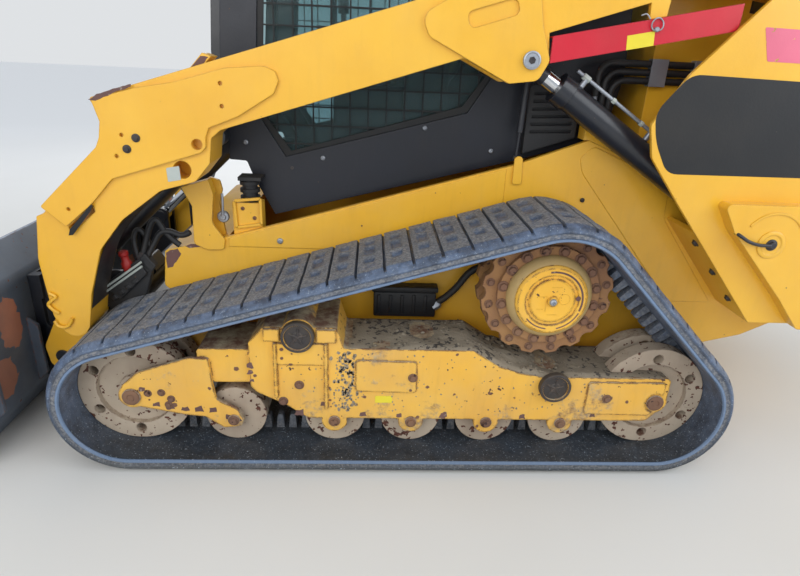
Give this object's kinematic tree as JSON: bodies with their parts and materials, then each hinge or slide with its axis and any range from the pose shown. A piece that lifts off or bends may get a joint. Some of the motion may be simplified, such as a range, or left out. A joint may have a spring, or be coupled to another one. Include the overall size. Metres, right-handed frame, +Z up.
{
  "type": "compact track loader",
  "caption": "Compact track loader on rubber tracks, with a vertical-lift arm, a closed cab, opening doors and hood, and a wide bucket that lifts and tilts.",
  "frame": {"origin": "on the ground, on the centreline, midway between the two track idlers, which is the middle of the whole length with the bucket", "axes": "+X forward toward the bucket, +Y to the machine's left, +Z up"},
  "size_m": [3.93, 1.98, 2.125],
  "materials": {
    "black_paint": "satin black paint",
    "black_plastic": "grained black plastic",
    "black_rubber": "matt black rubber",
    "bright_steel": "bare bright steel",
    "chrome_rod": "polished chrome",
    "clear_glass": "lightly tinted clear glass",
    "dark_steel": "worn dark steel, scratched, rusty at the edges",
    "lamp_lens": "clear lens",
    "muddy_iron": "cast iron under dry tan mud",
    "red_paint": "gloss red paint",
    "rusty_steel": "worn steel, rusted",
    "seat_cover": "dark grey cloth",
    "track_rubber": "rubber, muddy on the tread",
    "yellow_paint": "gloss yellow paint, muddy and chipped low down"
  },
  "bodies": {
    "chassis": {"cab_frame": "black_paint", "cab_mounts": "black_rubber", "cab_rear_glass": "clear_glass", "cab_roof": "black_plastic", "cab_side_glass": "clear_glass", "cab_side_screens": "black_paint", "cab_struts": "black_paint", "chassis_frame": "yellow_paint", "consoles": "black_plastic", "engine_bay": "yellow_paint", "engine_block": "black_paint", "exhaust_pipe": "black_paint", "final_drives": "yellow_paint", "front_brackets": "yellow_paint", "idlers": "muddy_iron", "lamps": "lamp_lens", "louvre_panels": "black_plastic", "radiator": "black_paint", "rear_bumper": "black_paint", "rollers": "muddy_iron", "rubber_hoses": "black_rubber", "seat": "seat_cover", "seat_base": "black_plastic", "sprockets": "rusty_steel", "steel_lines": "bright_steel", "torsion_axles": "yellow_paint", "tower_covers": "yellow_paint", "tower_inner_plates": "yellow_paint", "tower_pins": "bright_steel", "tower_plates": "yellow_paint", "tower_rims": "yellow_paint", "track_frames": "yellow_paint", "track_left": "track_rubber", "track_right": "track_rubber", "valve_block": "yellow_paint", "wheel_shafts": "muddy_iron"},
    "rear_link": {"rear_links": "yellow_paint"},
    "front_link": {"front_links": "yellow_paint"},
    "boom": {"lift_arms": "yellow_paint", "arm_pins": "bright_steel", "arm_cross_tubes": "yellow_paint", "arm_line_block": "black_paint", "arm_stand": "red_paint"},
    "lift_barrel": {"lift_barrels": "black_paint", "lift_lines": "bright_steel"},
    "lift_rod": {"lift_rods": "chrome_rod"},
    "tilt_barrel": {"tilt_barrels": "black_paint"},
    "tilt_rod": {"tilt_rods": "chrome_rod"},
    "bucket": {"coupler": "black_paint", "bucket": "dark_steel", "cutting_edge": "dark_steel"},
    "cab_door": {"cab_door": "black_paint", "cab_door_glass": "clear_glass"},
    "rear_door": {"rear_door": "black_paint"},
    "hood": {"hood": "black_paint"}
  },
  "joints": [
    {"name": "lift", "type": "hinge", "parent": "rear_link", "child": "boom", "pos_m": [-1.45, 0, 1.58], "axis": [0, -1, 0], "range_deg": [0, 86.3]},
    {"name": "rear_link_swing", "type": "hinge", "parent": "chassis", "child": "rear_link", "pos_m": [-1.68, 0, 0.985], "axis": [0, -1, 0], "range_deg": [-23.54, 0]},
    {"name": "front_link_swing", "type": "hinge", "parent": "chassis", "child": "front_link", "pos_m": [-1.055, 0, 0.915], "axis": [0, -1, 0], "range_deg": [-17.12, 0]},
    {"name": "lift_barrel_swing", "type": "hinge", "parent": "chassis", "child": "lift_barrel", "pos_m": [-1.18, 0, 0.75], "axis": [0, -1, 0], "range_deg": [0, 32.43]},
    {"name": "lift_rod_slide", "type": "slide", "parent": "lift_barrel", "child": "lift_rod", "axis": [0.8403, 0, 0.5421], "range_m": [0, 0.703]},
    {"name": "tilt", "type": "hinge", "parent": "boom", "child": "bucket", "pos_m": [1.21, 0, 0.23], "axis": [0, 1, 0], "range_deg": [-26, 65]},
    {"name": "tilt_barrel_swing", "type": "hinge", "parent": "boom", "child": "tilt_barrel", "pos_m": [0.635, 0, 1.015], "axis": [0, -1, 0], "range_deg": [-2.91, 7.2]},
    {"name": "tilt_rod_slide", "type": "slide", "parent": "tilt_barrel", "child": "tilt_rod", "axis": [0.7197, 0, -0.6943], "range_m": [-0.097, 0.241]},
    {"name": "cab_door_hinge", "type": "hinge", "parent": "chassis", "child": "cab_door", "pos_m": [0.646, 0.388, 1.4], "axis": [0, 0, 1], "range_deg": [0, 90]},
    {"name": "rear_door_hinge", "type": "hinge", "parent": "chassis", "child": "rear_door", "pos_m": [-1.955, 0.526, 1.1], "axis": [0, 0, -1], "range_deg": [0, 110]},
    {"name": "hood_hinge", "type": "hinge", "parent": "chassis", "child": "hood", "pos_m": [-1.089, 0, 1.53], "axis": [0, 1, 0], "range_deg": [0, 45]}
  ],
  "couplings": [
    {"joint": "rear_link_swing", "follows": "lift", "ratio": -0.27218},
    {"joint": "front_link_swing", "follows": "lift", "ratio": -0.19784},
    {"joint": "lift_barrel_swing", "follows": "lift", "ratio": 0.37519},
    {"joint": "lift_rod_slide", "follows": "lift", "m_per_rad": 0.46576},
    {"joint": "tilt_barrel_swing", "follows": "tilt", "ratio": 0.11},
    {"joint": "tilt_rod_slide", "follows": "tilt", "m_per_rad": 0.2116}
  ]
}
